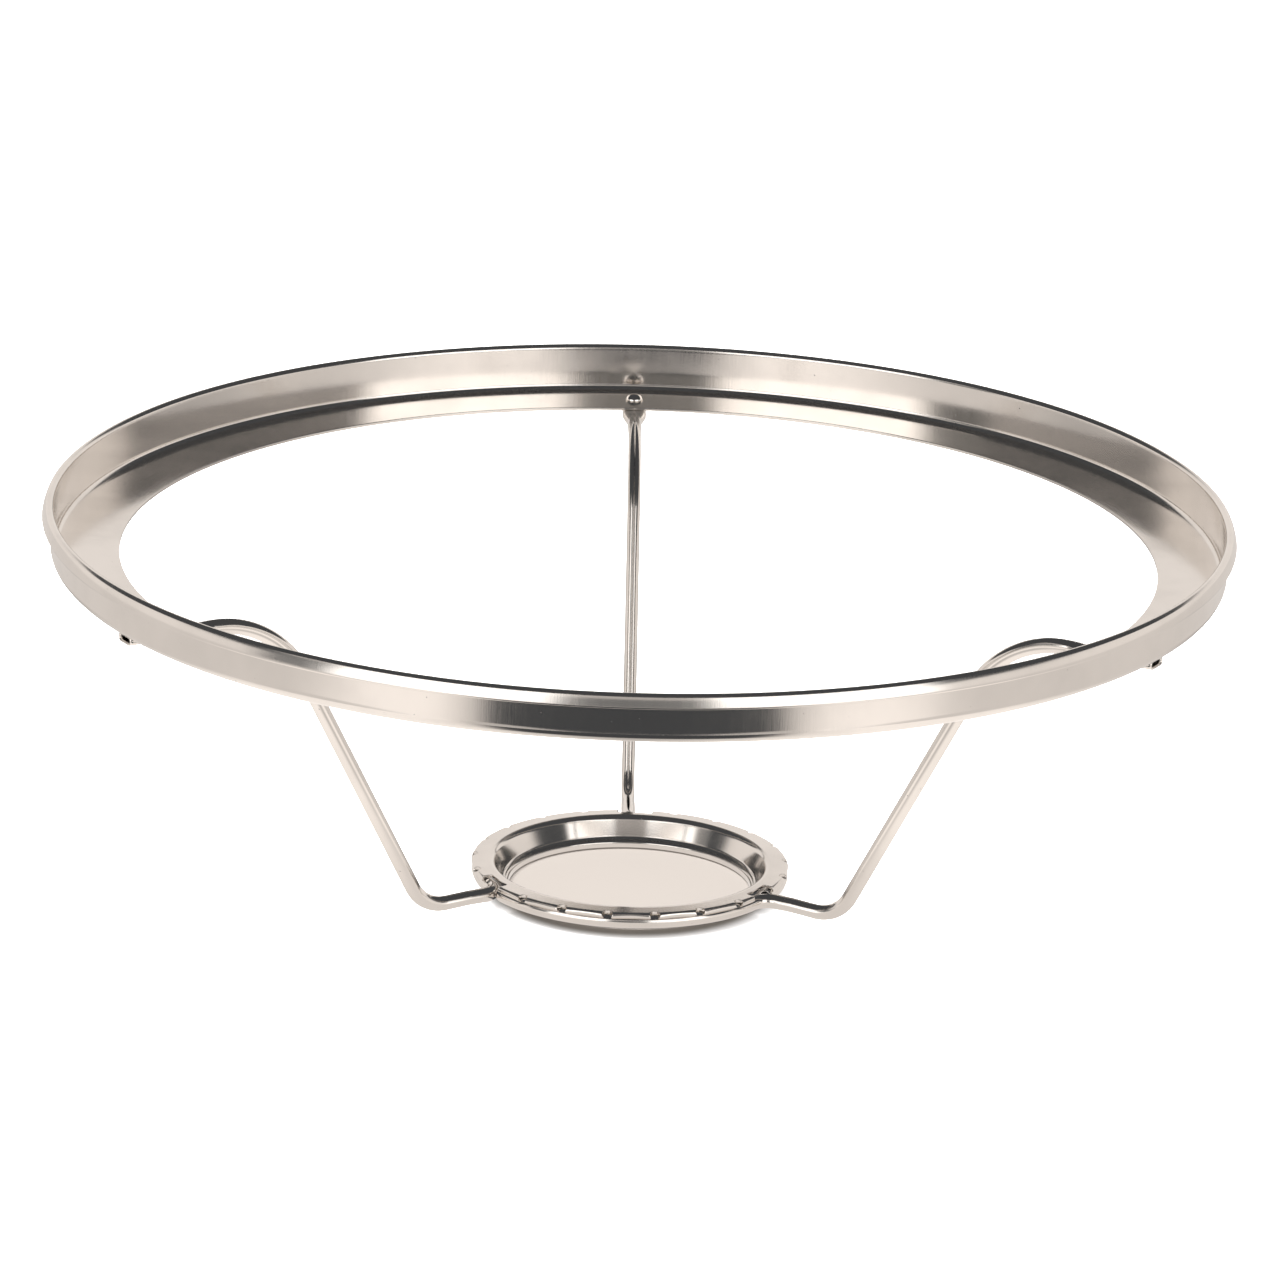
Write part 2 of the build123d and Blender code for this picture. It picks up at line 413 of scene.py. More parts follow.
def nickel_plate(name, plate, satin, waviness, speckle):
    """Warm nickel plate. satin is the depth of the hairlines that run across the strip, waviness
    that of the slow unevenness of pressed sheet, and speckle the share of small pits."""
    material = bpy.data.materials.new(name)
    material.use_nodes = True
    g = Graph(material.node_tree)
    strip = g.node("ShaderNodeUVMap", {"uv_map": "strip"}).outputs["UV"]
    place = g.node("ShaderNodeTexCoord").outputs["Object"]

    hair_space = g.node("ShaderNodeMapping", Vector=strip, Scale=HAIRLINE_SCALE).outputs[0]
    hairs = g.noise(hair_space, 1.0, detail=2.0)
    fine_grain = g.noise(place, GRAIN_SCALE, detail=2.0)
    pits_noise = g.noise(place, PIT_SCALE, detail=1.0)
    pits = g.ramp(pits_noise, 0.80 - speckle, 0.86 - speckle)
    handling = g.noise(place, HANDLING_SCALE, detail=3.0, roughness=0.6)
    waves = g.noise(place, WAVE_SCALE, detail=1.0)

    dulled = g.mix(g.ramp(handling, 0.35, 0.75), plate, [c * DULL_SHADE for c in plate[:3]] + [1.0])
    colour = g.mix(pits, dulled, [c * PIT_SHADE for c in plate[:3]] + [1.0])
    rough = g.ramp(handling, 0.3, 0.75, *POLISH)
    rough = g.math("ADD", rough, g.math("MULTIPLY", hairs, satin * HAIR_ROUGHNESS))
    rough = g.math("ADD", rough, g.math("MULTIPLY", pits, PIT_ROUGHNESS), clamp=True)

    height = g.math("MULTIPLY", hairs, satin)
    height = g.math("ADD", height, g.math("MULTIPLY", fine_grain, 0.5))
    height = g.math("SUBTRACT", height, g.math("MULTIPLY", pits, 1.5))
    fine = g.node("ShaderNodeBump", Strength=1.0, Distance=RELIEF, Height=height)
    slow = g.node("ShaderNodeBump", Strength=1.0, Distance=waviness * MM, Height=waves)
    g.feed(slow.inputs["Normal"], fine.outputs["Normal"])

    shader = g.node(
        "ShaderNodeBsdfPrincipled",
        Base_Color=colour,
        Metallic=1.0,
        Roughness=rough,
        Normal=slow.outputs["Normal"],
    )
    output = g.node("ShaderNodeOutputMaterial")
    g.feed(output.inputs["Surface"], shader.outputs["BSDF"])
    return material


ring_plate = nickel_plate("ring_nickel", rgb(0.80, 0.76, 0.72), 0.8, 0.12, 0.02)
base_plate = nickel_plate("base_nickel", rgb(0.80, 0.76, 0.72), 0.5, 0.10, 0.02)
arm_plate = nickel_plate("arm_nickel", rgb(0.79, 0.75, 0.71), 0.5, 0.10, 0.03)
rivet_plate = nickel_plate("rivet_nickel", rgb(0.81, 0.77, 0.73), 0.4, 0.03, 0.01)


# ---------------------------------------------------------------------------- shade ring


def make_shade_ring():
    """The wide ring: flange, wall and curled rim, turned from one bent strip."""
    down_top, down_foot = (
        np.array((sin(lean), -cos(lean))) for lean in (FACE_TOP_LEAN, FACE_FOOT_LEAN)
    )
    over_rim = RIM_BEND * tan((pi / 2 - FACE_TOP_LEAN) / 2)
    along_face = FACE_BEND * tan((FACE_TOP_LEAN - FACE_FOOT_LEAN) / 2)
    round_tuck = CURL_TUCK_BEND * tan((pi / 2 + FACE_FOOT_LEAN) / 2)
    shoulder = np.array((SEAT_RADIUS + RIM_BEND + over_rim, RIM_TOP))
    cheek = shoulder + down_top * (over_rim + along_face)
    tuck = cheek + down_foot * (along_face + round_tuck)
    corners = (
        (FLANGE_HOLE_RADIUS, FLANGE_INNER_Z),
        (SEAT_RADIUS, FLANGE_OUTER_Z),
        (SEAT_RADIUS, RIM_TOP),
        shoulder,
        cheek,
        tuck,
        (CURL_EDGE_RADIUS, tuck[1]),
    )
    path = bent_path(corners, (RING_BEND, RIM_BEND, RIM_BEND, FACE_BEND, CURL_TUCK_BEND), CURVE_STEP)
    in_curl = smooth_step(path[:, 0], SEAT_RADIUS + RIM_BEND, RIM_RADIUS - CURL_SHEET_INSET)
    in_curl[np.argmax(path[:, 0]) :] = 1.0
    stepped = smooth_step(-path[:, 1], -STEP_Z, -STEP_Z + STEP_HEIGHT)
    stepped *= smooth_step(path[:, 0], SEAT_RADIUS - STEP_RUN_IN, SEAT_RADIUS) * (1 - in_curl)
    thickness = RING_SHEET - (RING_SHEET - CURL_SHEET) * in_curl + STEP_DEPTH * stepped
    section = section_of_sheet(path, thickness, CUT_EDGE)
    return revolved("shade_ring_plated", section, RING_SEGMENTS)


finish_piece(make_shade_ring(), "shade_ring", ring_plate)


# ---------------------------------------------------------------------------- burner ring

base_path = bent_path(
    (
        (BURNER_HOLE_RADIUS, 0),
        (BURNER_HOLE_RADIUS, LIP_TOP),
        LIP_CORNER,
        WALL_CORNER,
        FOLD_CORNER,
        (FOLD_CORNER[0], CRIMP_BOTTOM),
    ),
    BASE_BENDS,
    BASE_STEP,
)
base_tangents = directions(base_path)
base_backs = base_path + np.column_stack((base_tangents[:, 1], -base_tangents[:, 0])) * BASE_SHEET
base_along = lengths(base_path)
fold_row = int(np.argmax(base_path[:, 0] >= FOLD_CORNER[0] - BASE_BENDS[-1]))
sector = TURN / len(ARMS)
notch_pitch = sector / (NOTCHES_PER_SECTOR + 1)
notch_angles = sorted(
    azimuth + step * notch_pitch
    for azimuth in arm_azimuths.values()
    for step in range(1, NOTCHES_PER_SECTOR + 1)
)


def tab_push(angle, along):
    """How far a crimped tab is pressed in: its face is flat between two notches, and no two tabs
    are pressed alike."""
    if along <= base_along[fold_row]:
        return 0.0
    share = smooth_step(along, base_along[fold_row], base_along[-1])
    nearest = min(notch_angles, key=lambda notch: abs((angle - notch + pi) % TURN - pi))
    offset = (angle - nearest + pi) % TURN - pi
    half = notch_pitch / 2
    to_middle = half - abs(offset)
    chord = FOLD_CORNER[0] * (1 - cos(half) / cos(min(to_middle, half)))
    tab = round((nearest + (half if offset > 0 else -half)) / notch_pitch * 2)
    uneven = TAB_UNEVEN * (1 + sin(TAB_RHYTHM * tab))
    return share * (TAB_FLAT * chord + uneven * smooth_step(abs(offset), 0, half))


def base_point(path, along, angle):
    """Point on the burner ring's face or back, at a distance along its section and an azimuth."""
    radius = np.interp(along, base_along, path[:, 0]) - tab_push(angle, along)
    height = np.interp(along, base_along, path[:, 1])
    return (radius * cos(angle), radius * sin(angle), height)


def half_outline(points, parts):
    """Evenly spaced points along a polyline."""
    reach = lengths(points)
    at = np.linspace(0, reach[-1], parts + 1)
    return np.column_stack([np.interp(at, reach, points[:, k]) for k in (0, 1)])


def notch_outline(parts):
    """(along, offset) from the foot of a notch's left side, over its top, to its right foot."""
    tilt = np.array((sin(NOTCH_TILT), -cos(NOTCH_TILT)))
    along = np.linspace(base_along[fold_row] - NOTCH_SEARCH, base_along[-1], NOTCH_SAMPLES)
    face = np.column_stack([np.interp(along, base_along, base_path[:, k]) for k in (0, 1)])
    off_axis = (face - np.array(FOLD_CORNER)) @ tilt
    inside = np.abs(off_axis) < NOTCH_RADIUS
    width = np.sqrt(NOTCH_RADIUS**2 - off_axis[inside] ** 2)
    top = along[inside][0] - NOTCH_TOP_GAP
    right = np.column_stack((np.append(top, along[inside]), np.append(0, width)))
    half = half_outline(right, parts // 2)
    left = half[::-1] * (1, -1)
    return np.vstack((left[:-1], half))


def slot_outline(parts):
    """The same for a slot: square sides, rounded corners and a straight inner edge."""
    inner = float(np.interp(SLOT_INNER_RADIUS, base_path[:fold_row, 0], base_along[:fold_row]))
    corner = [
        (
            inner + SLOT_CORNER * (1 - cos(angle)),
            SLOT_HALF_WIDTH - SLOT_CORNER * (1 - sin(angle)),
        )
        for angle in np.linspace(0, pi / 2, 7)
    ]
    right = np.array([(inner, 0.0), *corner, (base_along[-1], SLOT_HALF_WIDTH)])
    half = half_outline(right, parts // 2)
    left = half[::-1] * (1, -1)
    return np.vstack((left[:-1], half))


def make_base_ring():
    """The burner ring as a grid along its section and round it, with a patch of mesh fitted round
    each notch and slot, given its thickness by a second layer and the cut edges between them."""
    cells = [(angle, NOTCH_CELL, notch_outline) for angle in notch_angles]
    cells += [(a - SLOT_LEAD, SLOT_CELL, slot_outline) for a in arm_azimuths.values()]
    cells = sorted((angle % TURN, *rest) for angle, *rest in cells)
    rows = len(base_path)
    points = []
    lookup = {}

    def vertex(along, angle):
        key = (round(along, 4), round((angle % TURN) * 1e4) % round(TURN * 1e4))
        if key not in lookup:
            lookup[key] = len(points)
            points.append((along, angle))
        return lookup[key]

    quads = []
    first = cells[0][0] - cells[0][1] / FOLD_CORNER[0]
    spans = []
    for index, (angle, half, outline) in enumerate(cells):
        reach = half / FOLD_CORNER[0]
        following = cells[(index + 1) % len(cells)]
        next_start = following[0] - following[1] / FOLD_CORNER[0]
        if index == len(cells) - 1:
            next_start = first + TURN
        cell_columns = NOTCH_COLUMNS if outline is notch_outline else SLOT_COLUMNS
        spans.append((angle - reach, angle + reach, cell_columns, outline, angle))
        gap = next_start - (angle + reach)
        columns = max(1, round(gap * FOLD_CORNER[0] / BASE_COLUMN))
        spans.append((angle + reach, next_start, columns, None, 0.0))
    for start, end, columns, outline, middle in spans:
        angles = np.linspace(start, end, columns + 1)
        last = rows - 1
        if outline:
            lowest = outline(8)[:, 0].min()
            last = int(np.argmax(base_along > lowest - CELL_MARGIN))
            last = min(last, rows - 2)
        for row in range(last):
            for a, b in zip(angles, angles[1:]):
                quads.append(
                    [
                        vertex(base_along[row], a),
                        vertex(base_along[row + 1], a),
                        vertex(base_along[row + 1], b),
                        vertex(base_along[row], b),
                    ]
                )
        if not outline:
            continue
        side = [(base_along[row], start) for row in range(rows - 1, last, -1)]
        top = [(base_along[last], a) for a in angles]
        far = [(base_along[row], end) for row in range(last + 1, rows)]
        outer = np.array(side + top + far)
        parts = len(outer) - 1
        inner = outline(parts if parts % 2 == 0 else parts + 1)
        if parts % 2:
            inner = half_outline(inner, parts)
        radius_here = np.interp(inner[:, 0], base_along, base_path[:, 0])
        inner = np.column_stack((inner[:, 0], middle + np.arcsin(inner[:, 1] / radius_here)))
        layers = [outer + (inner - outer) * k / CELL_RINGS for k in range(CELL_RINGS + 1)]
        for near, next_layer in zip(layers, layers[1:]):
            for k in range(parts):
                quads.append(
                    [
                        vertex(*near[k]),
                        vertex(*next_layer[k]),
                        vertex(*next_layer[k + 1]),
                        vertex(*near[k + 1]),
                    ]
                )
    count = len(points)
    vertices = [base_point(base_path, *point) for point in points]
    vertices += [base_point(base_backs, *point) for point in points]
    faces = []
    edges = {}
    for quad in quads:
        quad = quad[::-1]
        faces.append(quad)
        faces.append([v + count for v in quad[::-1]])
        for a, b in zip(quad, quad[1:] + quad[:1]):
            edges[(a, b)] = True
    for a, b in edges:
        if (b, a) not in edges:
            faces.append([b, a, a + count, b + count])
    plan = [(angle * FOLD_CORNER[0], along) for along, angle in points]
    uvs = [plan[v % count] for face in faces for v in face]
    return make_object("base_ring_plated", vertices, faces, uvs)


finish_piece(make_base_ring(), "base_ring", base_plate, bevel=BASE_EDGE)


# ---------------------------------------------------------------------------- arms


def arm_route():
    """Centre line of the arm at azimuth 0, from the start of its hoop to the end of its tab."""
    root_exit = sqrt((HOOP_RADIUS + ROOT_BEND) ** 2 - ROOT_BEND**2)
    root_angle = asin(ROOT_BEND / (HOOP_RADIUS + ROOT_BEND))
    hoop_angles = np.linspace(SEAM_ANGLE - sector, -root_angle, HOOP_STEPS)
    hoop = [(HOOP_RADIUS * cos(a), HOOP_RADIUS * sin(a), HOOP_Z) for a in hoop_angles]
    root = [
        (root_exit - ROOT_BEND * sin(a), -ROOT_BEND + ROOT_BEND * cos(a), HOOP_Z)
        for a in np.linspace(pi / 2 - root_angle, 0, ROOT_STEPS)
    ]
    rest = bent_path(
        (
            (root_exit, 0, HOOP_Z),
            (root_exit + LEVEL_RUN, 0, HOOP_Z),
            (FOOT_CORNER[0], 0, FOOT_CORNER[1]),
            (KNEE_CORNER[0], 0, KNEE_CORNER[1]),
            (FLARE_START, 0, KNEE_CORNER[1]),
        ),
        (ROOT_DIP_BEND, FOOT_BEND, KNEE_BEND),
        ROUTE_STEP,
    )
    tab_start = flange_spot(FLARE_END, depth=RING_SHEET + TAB_DEPTH / 2)
    flare = [rest[-1] + (tab_start - rest[-1]) * k / FLARE_STEPS for k in range(1, FLARE_STEPS)]
    tab_run = flange_along * (TAB_END - FLARE_END)
    tab = [tab_start + tab_run * k / TAB_STEPS for k in range(TAB_STEPS + 1)]
    return np.vstack((hoop[:-1], root[:-1], rest, flare, tab))


def squared(angle, half_width, half_depth, corner):
    """Point of a rounded rectangle in a direction. Angle 0 is along its depth."""
    across, up = sin(angle), cos(angle)
    reach = min(
        half_width / abs(across) if abs(across) > 1e-9 else 1e9,
        half_depth / abs(up) if abs(up) > 1e-9 else 1e9,
    )
    centre = np.array((half_depth - corner, half_width - corner))
    spot = np.array((up, across)) * reach
    if abs(spot[0]) > centre[0] and abs(spot[1]) > centre[1]:
        ray = np.array((abs(up), abs(across)))
        along = ray @ centre
        reach = along + sqrt(max(along**2 - centre @ centre + corner**2, 0))
        spot = np.array((up, across)) * reach
    return spot


def arm_section(gap, flat):
    """Outline of the rolled tube with its open seam at the top, as (up, across) points. flat goes
    from 0 in the round tube to 1 in the flattened end. The outer face comes first, then the inner
    face in step with it, so that a cap joins point k to point -1 - k."""

    def spot(angle, inset):
        radius = TUBE_RADIUS - inset
        round_spot = np.array((cos(angle), sin(angle))) * radius
        flat_spot = squared(angle, TAB_WIDTH / 2 - inset, TAB_DEPTH / 2 - inset, TAB_CORNER - inset)
        return round_spot + (flat_spot - round_spot) * flat

    middle_radius = TUBE_RADIUS - TUBE_WALL / 2
    lips = [(gap / 2 + SEAM_LIP * (1 - sin(a)), SEAM_LIP * (1 - cos(a))) for a in LIP_ARC]
    inner_lips = [(aside, TUBE_WALL - inset) for aside, inset in lips]
    first = lips[-1][0] / middle_radius * SEAM_CLEAR
    spread = list(np.linspace(first, TURN - first, TUBE_COLUMNS))

    def face(rows, flip):
        start = [spot(aside / (TUBE_RADIUS - inset), inset) for aside, inset in rows]
        end = [spot(TURN - aside / (TUBE_RADIUS - inset), inset) for aside, inset in rows]
        body = [spot(a, TUBE_WALL if flip else 0.0) for a in spread]
        return start + body + end[::-1]

    outer = face(lips[::-1], False)
    inner = face(inner_lips[::-1], True)
    return np.array(outer + inner[::-1])


def make_arm(arm):
    """One arm, rolled from sheet: the outline swept along the route, open at both ends."""
    route = arm_route()
    along = lengths(route)
    tangents = directions(route)
    ups = np.array((0, 0, 1)) - tangents * tangents[:, 2:]
    ups /= np.linalg.norm(ups, axis=1)[:, None]
    sides = np.cross(tangents, ups)
    outward = np.hypot(route[:, 0], route[:, 1])
    past_hoop = along - along[ROOT_ROW]
    azimuth = arm_azimuths[arm]
    turned = np.array(((cos(azimuth), -sin(azimuth), 0), (sin(azimuth), cos(azimuth), 0), (0, 0, 1)))
    vertices = []
    outline_reach = None
    for index, centre in enumerate(route):
        flat = float(smooth_step(outward[index], FLARE_START, FLARE_END + FLARE_OVERRUN))
        if past_hoop[index] <= 0:
            flat = 0.0
        past_root = smooth_step(past_hoop[index], *ROOT_SEAM_CLOSES)
        opening = smooth_step(past_hoop[index], *ROOT_SEAM_OPENS) * (1 - past_root)
        gap = SEAM_GAP + (SEAM_GAP_AT_ROOT - SEAM_GAP) * opening
        section = arm_section(gap, flat)
        if outline_reach is None:
            outline_reach = lengths(np.vstack((section, section[:1])))
        near_flare = smooth_step(outward[index], FLARE_START - OVAL_RUN_OUT, FLARE_START)
        oval = past_root * (1 - near_flare)
        up = ups[index] * (1 + (OVAL_DEPTH - 1) * oval)
        side = sides[index] * (1 + (OVAL_WIDTH - 1) * oval)
        ring = centre + section[:, :1] * up - section[:, 1:] * side
        vertices.extend(ring @ turned.T)
    columns = len(vertices) // len(route)
    faces, places = grid_faces(len(route), columns, close_columns=True)
    uvs = [(outline_reach[c], along[r]) for r, c in places]
    for row, flip in ((0, False), (len(route) - 1, True)):
        for k in range(columns // 2 - 1):
            cap = [row * columns + c for c in (k, columns - 1 - k, columns - 2 - k, k + 1)]
            faces.append(cap[::-1] if flip else cap)
            uvs.extend([(0.0, along[row])] * 4)
    return make_object("arm_" + arm + "_rolled", vertices, faces, uvs)


for arm in ARMS:
    finish_piece(make_arm(arm), "arm_" + arm, arm_plate)


# ---------------------------------------------------------------------------- rivets


def make_rivet(arm):
    """Domed head, shank and spread tail, standing on the flange."""
    grip = RING_SHEET + TAB_DEPTH
    head_angles = np.linspace(HEAD_TIP_ANGLE, pi / 2, HEAD_STEPS)
    head = [(HEAD_RADIUS * sin(a), HEAD_HEIGHT * cos(a)) for a in head_angles]
    tail = bent_path(
        (
            (SHANK_RADIUS, 0),
            (SHANK_RADIUS, -grip),
            (TAIL_RADIUS, -grip),
            (TAIL_RADIUS, -grip - TAIL_HEIGHT),
            (TAIL_TIP_RADIUS, -grip - TAIL_HEIGHT),
        ),
        RIVET_BENDS,
        CURVE_STEP,
    )
    section = np.vstack((head, tail))
    angles = np.linspace(0, TURN, RIVET_SEGMENTS, endpoint=False)
    foot = rivet_foot(arm)
    azimuth = arm_azimuths[arm]
    level = Matrix.Rotation(azimuth, 4, "Z") @ Matrix.Rotation(-flange_slope, 4, "Y")
    vertices = [
        foot + level.to_3x3() @ Vector((r * cos(a), r * sin(a), z)) for a in angles for r, z in section
    ]
    columns = len(section)
    faces, places = grid_faces(RIVET_SEGMENTS, columns, close_rows=True)
    reach = lengths(section)
    uvs = [(r * TURN / RIVET_SEGMENTS * HEAD_RADIUS, reach[c]) for r, c in places]
    faces.append([k * columns for k in range(RIVET_SEGMENTS)][::-1])
    faces.append([k * columns + columns - 1 for k in range(RIVET_SEGMENTS)])
    uvs.extend([(0.0, 0.0)] * 2 * RIVET_SEGMENTS)
    return make_object("rivet_" + arm + "_domed", [tuple(v) for v in vertices], faces, uvs)


def rivet_foot(arm):
    """Where the rivet's axis meets the flange's upper face, in millimetres."""
    spot = rivet_centres[arm]
    middle = (HEAD_HEIGHT - RING_SHEET - TAB_DEPTH - TAIL_HEIGHT) / 2
    radius = hypot(spot.x, spot.y) / MM + middle * sin(flange_slope)
    azimuth = arm_azimuths[arm]
    height = flange_spot(radius)[2]
    return Vector((radius * cos(azimuth), radius * sin(azimuth), height))


for arm in ARMS:
    finish_piece(make_rivet(arm), "rivet_" + arm, rivet_plate)


# ---------------------------------------------------------------------------- camera

CAMERA_ELEVATION = radians(17.14)
CAMERA_DISTANCE = 2.0
CAMERA_ROLL = radians(1.67)
CAMERA_LENS = 260.3
SENSOR_WIDTH = 36
AIM = Vector((0.0008, 0, RIM_TOP * MM - 0.0299))
RING_CENTRE = Vector((0, 0, RIM_TOP * MM - 0.0013))


def make_camera():
    """A long lens a little above the ring, rolled slightly."""
    camera = bpy.data.objects.new("camera", bpy.data.cameras.new("camera"))
    bpy.context.scene.collection.objects.link(camera)
    bpy.context.scene.camera = camera
    back = Vector((0, -cos(CAMERA_ELEVATION), sin(CAMERA_ELEVATION)))
    camera.location = RING_CENTRE + back * CAMERA_DISTANCE
    sight = AIM - camera.location
    level = sight.to_track_quat("-Z", "Y")
    camera.rotation_mode = "QUATERNION"
    camera.rotation_quaternion = level @ Quaternion((0, 0, 1), CAMERA_ROLL)
    camera.data.lens = CAMERA_LENS
    camera.data.sensor_width = SENSOR_WIDTH


make_camera()


# ---------------------------------------------------------------------------- light and floor

WARM = (1.0, 0.945, 0.90)
DARK = rgb(0.065, 0.068, 0.072)

# The room, in degrees: angles from the front, positive to the right, and elevations
BACKDROP_TURN = (118, 150)          # the backdrop's top rises between these angles
BACKDROP_TOPS = (15, 26)
BACKDROP_SOFT = 1.5
BACKDROP_LEVEL = 0.92
FRONT_LEFT = (-74, 20)              # where the backdrop gives way to the front of the room
FRONT_RIGHT = (0, 57)
FRONT_SOFT = 6
GAP_RISE = (20, 25)                 # the gap between the boxes: grey, paler, then dark
GAP_TOP = (31, 34)
GAP_LEVEL = 0.55
GREY_GAP = rgb(0.20, 0.20, 0.197)
LEFT_BOX = (-59, -15)
RIGHT_BOX = (15, 58)
BOX_SOFT = 7
BOX_TOP = (30, 34)
BOX_GLOW = rgb(1.9, 1.86, 1.82)
SEEN_ROOM = rgb(1.0, 0.995, 0.99)   # what the camera sees past the floor

# The floor and the table top that the plate mirrors, in metres
STAGE_HALF = 12.0
FLOOR_Z = -0.0004
TABLE_Z = -0.0008
PAINTED_SHADE_EDGE = (0.0285, 0.034)         # radius of the disc of beige painted shade on the floor inside the burner ring
PAINTED_SHADE_COLOUR = rgb(0.286, 0.259, 0.237)
PAINTED_SHADE_LIFT = rgb(0.085, 0.077, 0.07)
FLOOR_SHADE = rgb(0.93, 0.93, 0.93)
FLOOR_LIFT = rgb(0.8, 0.8, 0.8)
POOL_START = 0.10                   # both aside and forwards
POOL_NORMAL = (0.838, 0.545)
POOL_RISE = (-0.105, -0.025)        # off the pool's middle line, on its inner and outer side
POOL_FALL = (0.025, 0.125)
POOL_LEVELS = (0.58, 1.18, 0.78)    # inside, in and outside the pool
BEHIND_FADE = (-0.12, -0.03)
BEHIND_REACH = (0.24, 0.32)
BEHIND_LEVEL = 0.52
NEAR_RING = (0.05, 0.09)
NEAR_LEVEL = 0.85
UNDER_RING = (0.0275, 0.0315)       # shade under the burner ring
UNDER_SOFT = 0.001
WEDGE_RUN = (0.14, 0.36)            # the dark wedge towards the camera, and its half width
WEDGE_WIDTHS = (0.05, 0.165)
WEDGE_SOFT = (-0.022, 0.012)
WEDGE_START = (0.142, 0.162)
WEDGE_END = (0.9, 1.4)

KEY_SIZE = 2.4
KEY_ENERGY = 170
KEY_SPOT = (-0.5, -0.6, 2.2)


def warm(level):
    """The warm white that every pale surface in the room has, at a brightness."""
    return rgb(*[level * part for part in WARM])


def make_surroundings():
    """What the plate mirrors: dark overhead, two soft boxes in front, a pale backdrop behind."""
    world = bpy.data.worlds.new("studio")
    bpy.context.scene.world = world
    world.use_nodes = True
    g = Graph(world.node_tree)
    direction = g.node("ShaderNodeTexCoord").outputs["Generated"]
    parts = g.node("ShaderNodeSeparateXYZ", Vector=direction).outputs
    elevation = g.math("MULTIPLY", g.math("ARCSINE", parts["Z"]), 180 / pi)
    from_front = g.math("ARCTAN2", parts["X"], g.math("MULTIPLY", parts["Y"], -1.0))
    from_front = g.math("MULTIPLY", from_front, 180 / pi)
    aside = g.math("ABSOLUTE", from_front)

    # The dark room starts at the top of whatever stands in that direction
    behind_top = g.ramp(aside, *BACKDROP_TURN, *BACKDROP_TOPS)
    above_top = g.ramp(g.math("SUBTRACT", elevation, behind_top), -BACKDROP_SOFT, BACKDROP_SOFT)
    room = g.mix(above_top, warm(BACKDROP_LEVEL), DARK)
    left_side = g.band(from_front, *FRONT_LEFT, FRONT_SOFT)
    right_side = g.band(from_front, *FRONT_RIGHT, FRONT_SOFT)
    gap = g.mix(g.ramp(elevation, *GAP_RISE), GREY_GAP, warm(GAP_LEVEL))
    gap = g.mix(g.ramp(elevation, *GAP_TOP), gap, DARK)
    front = g.mix(g.math("MAXIMUM", left_side, right_side), room, gap)
    left_box = g.band(from_front, *LEFT_BOX, BOX_SOFT)
    right_box = g.band(from_front, *RIGHT_BOX, BOX_SOFT)
    either_box = g.math("ADD", left_box, right_box)
    boxes = g.math("MULTIPLY", either_box, g.ramp(elevation, *BOX_TOP, 1.0, 0.0))
    sky = g.mix(boxes, front, BOX_GLOW)
    background = g.node("ShaderNodeBackground", Color=sky, Strength=1.0)
    plain = g.node("ShaderNodeBackground", Color=SEEN_ROOM, Strength=1.0)
    seen = g.node("ShaderNodeLightPath").outputs["Is Camera Ray"]
    both = g.node("ShaderNodeMixShader")
    g.feed(both.inputs[0], seen)
    g.feed(both.inputs[1], background.outputs[0])
    g.feed(both.inputs[2], plain.outputs[0])
    output = g.node("ShaderNodeOutputWorld")
    g.feed(output.inputs["Surface"], both.outputs[0])


def plane(name, half_size, height):
    """A staged square plane."""
    mesh = bpy.data.meshes.new(name)
    low, high = -half_size, half_size
    outline = ((low, low), (high, low), (high, high), (low, high))
    mesh.from_pydata([(x, y, height) for x, y in outline], [], [(0, 1, 2, 3)])
    obj = bpy.data.objects.new(name, mesh)
    bpy.context.scene.collection.objects.link(obj)
    return obj


def make_floor():
    """Pale floor that the camera sees, lifted so that shadows fade out on it, with a beige disc of
    painted shade inside the burner ring. The plate mirrors the table top below instead."""
    floor = plane("floor", STAGE_HALF, FLOOR_Z)
    floor.visible_glossy = False
    material = bpy.data.materials.new("pale_floor")
    material.use_nodes = True
    g = Graph(material.node_tree)
    place = g.node("ShaderNodeTexCoord").outputs["Object"]
    from_axis = g.node("ShaderNodeVectorMath", {"operation": "LENGTH"}, Vector=place)
    # painted shade: the floor is coloured and lit darker and beige inside the burner ring
    off_painted_shade = g.ramp(from_axis.outputs["Value"], *PAINTED_SHADE_EDGE)
    pale = g.mix(off_painted_shade, PAINTED_SHADE_COLOUR, FLOOR_SHADE)
    diffuse = g.node("ShaderNodeBsdfDiffuse", Color=pale)
    lift = g.mix(off_painted_shade, PAINTED_SHADE_LIFT, FLOOR_LIFT)
    glow = g.node("ShaderNodeEmission", Color=lift, Strength=1.0)
    lifted = g.node("ShaderNodeAddShader")
    g.feed(lifted.inputs[0], diffuse.outputs[0])
    g.feed(lifted.inputs[1], glow.outputs[0])
    clear = g.node("ShaderNodeBsdfTransparent")
    both = g.node("ShaderNodeMixShader")
    g.feed(both.inputs[0], g.node("ShaderNodeNewGeometry").outputs["Backfacing"])
    g.feed(both.inputs[1], lifted.outputs[0])
    g.feed(both.inputs[2], clear.outputs[0])
    output = g.node("ShaderNodeOutputMaterial")
    g.feed(output.inputs["Surface"], both.outputs[0])
    floor.data.materials.append(material)


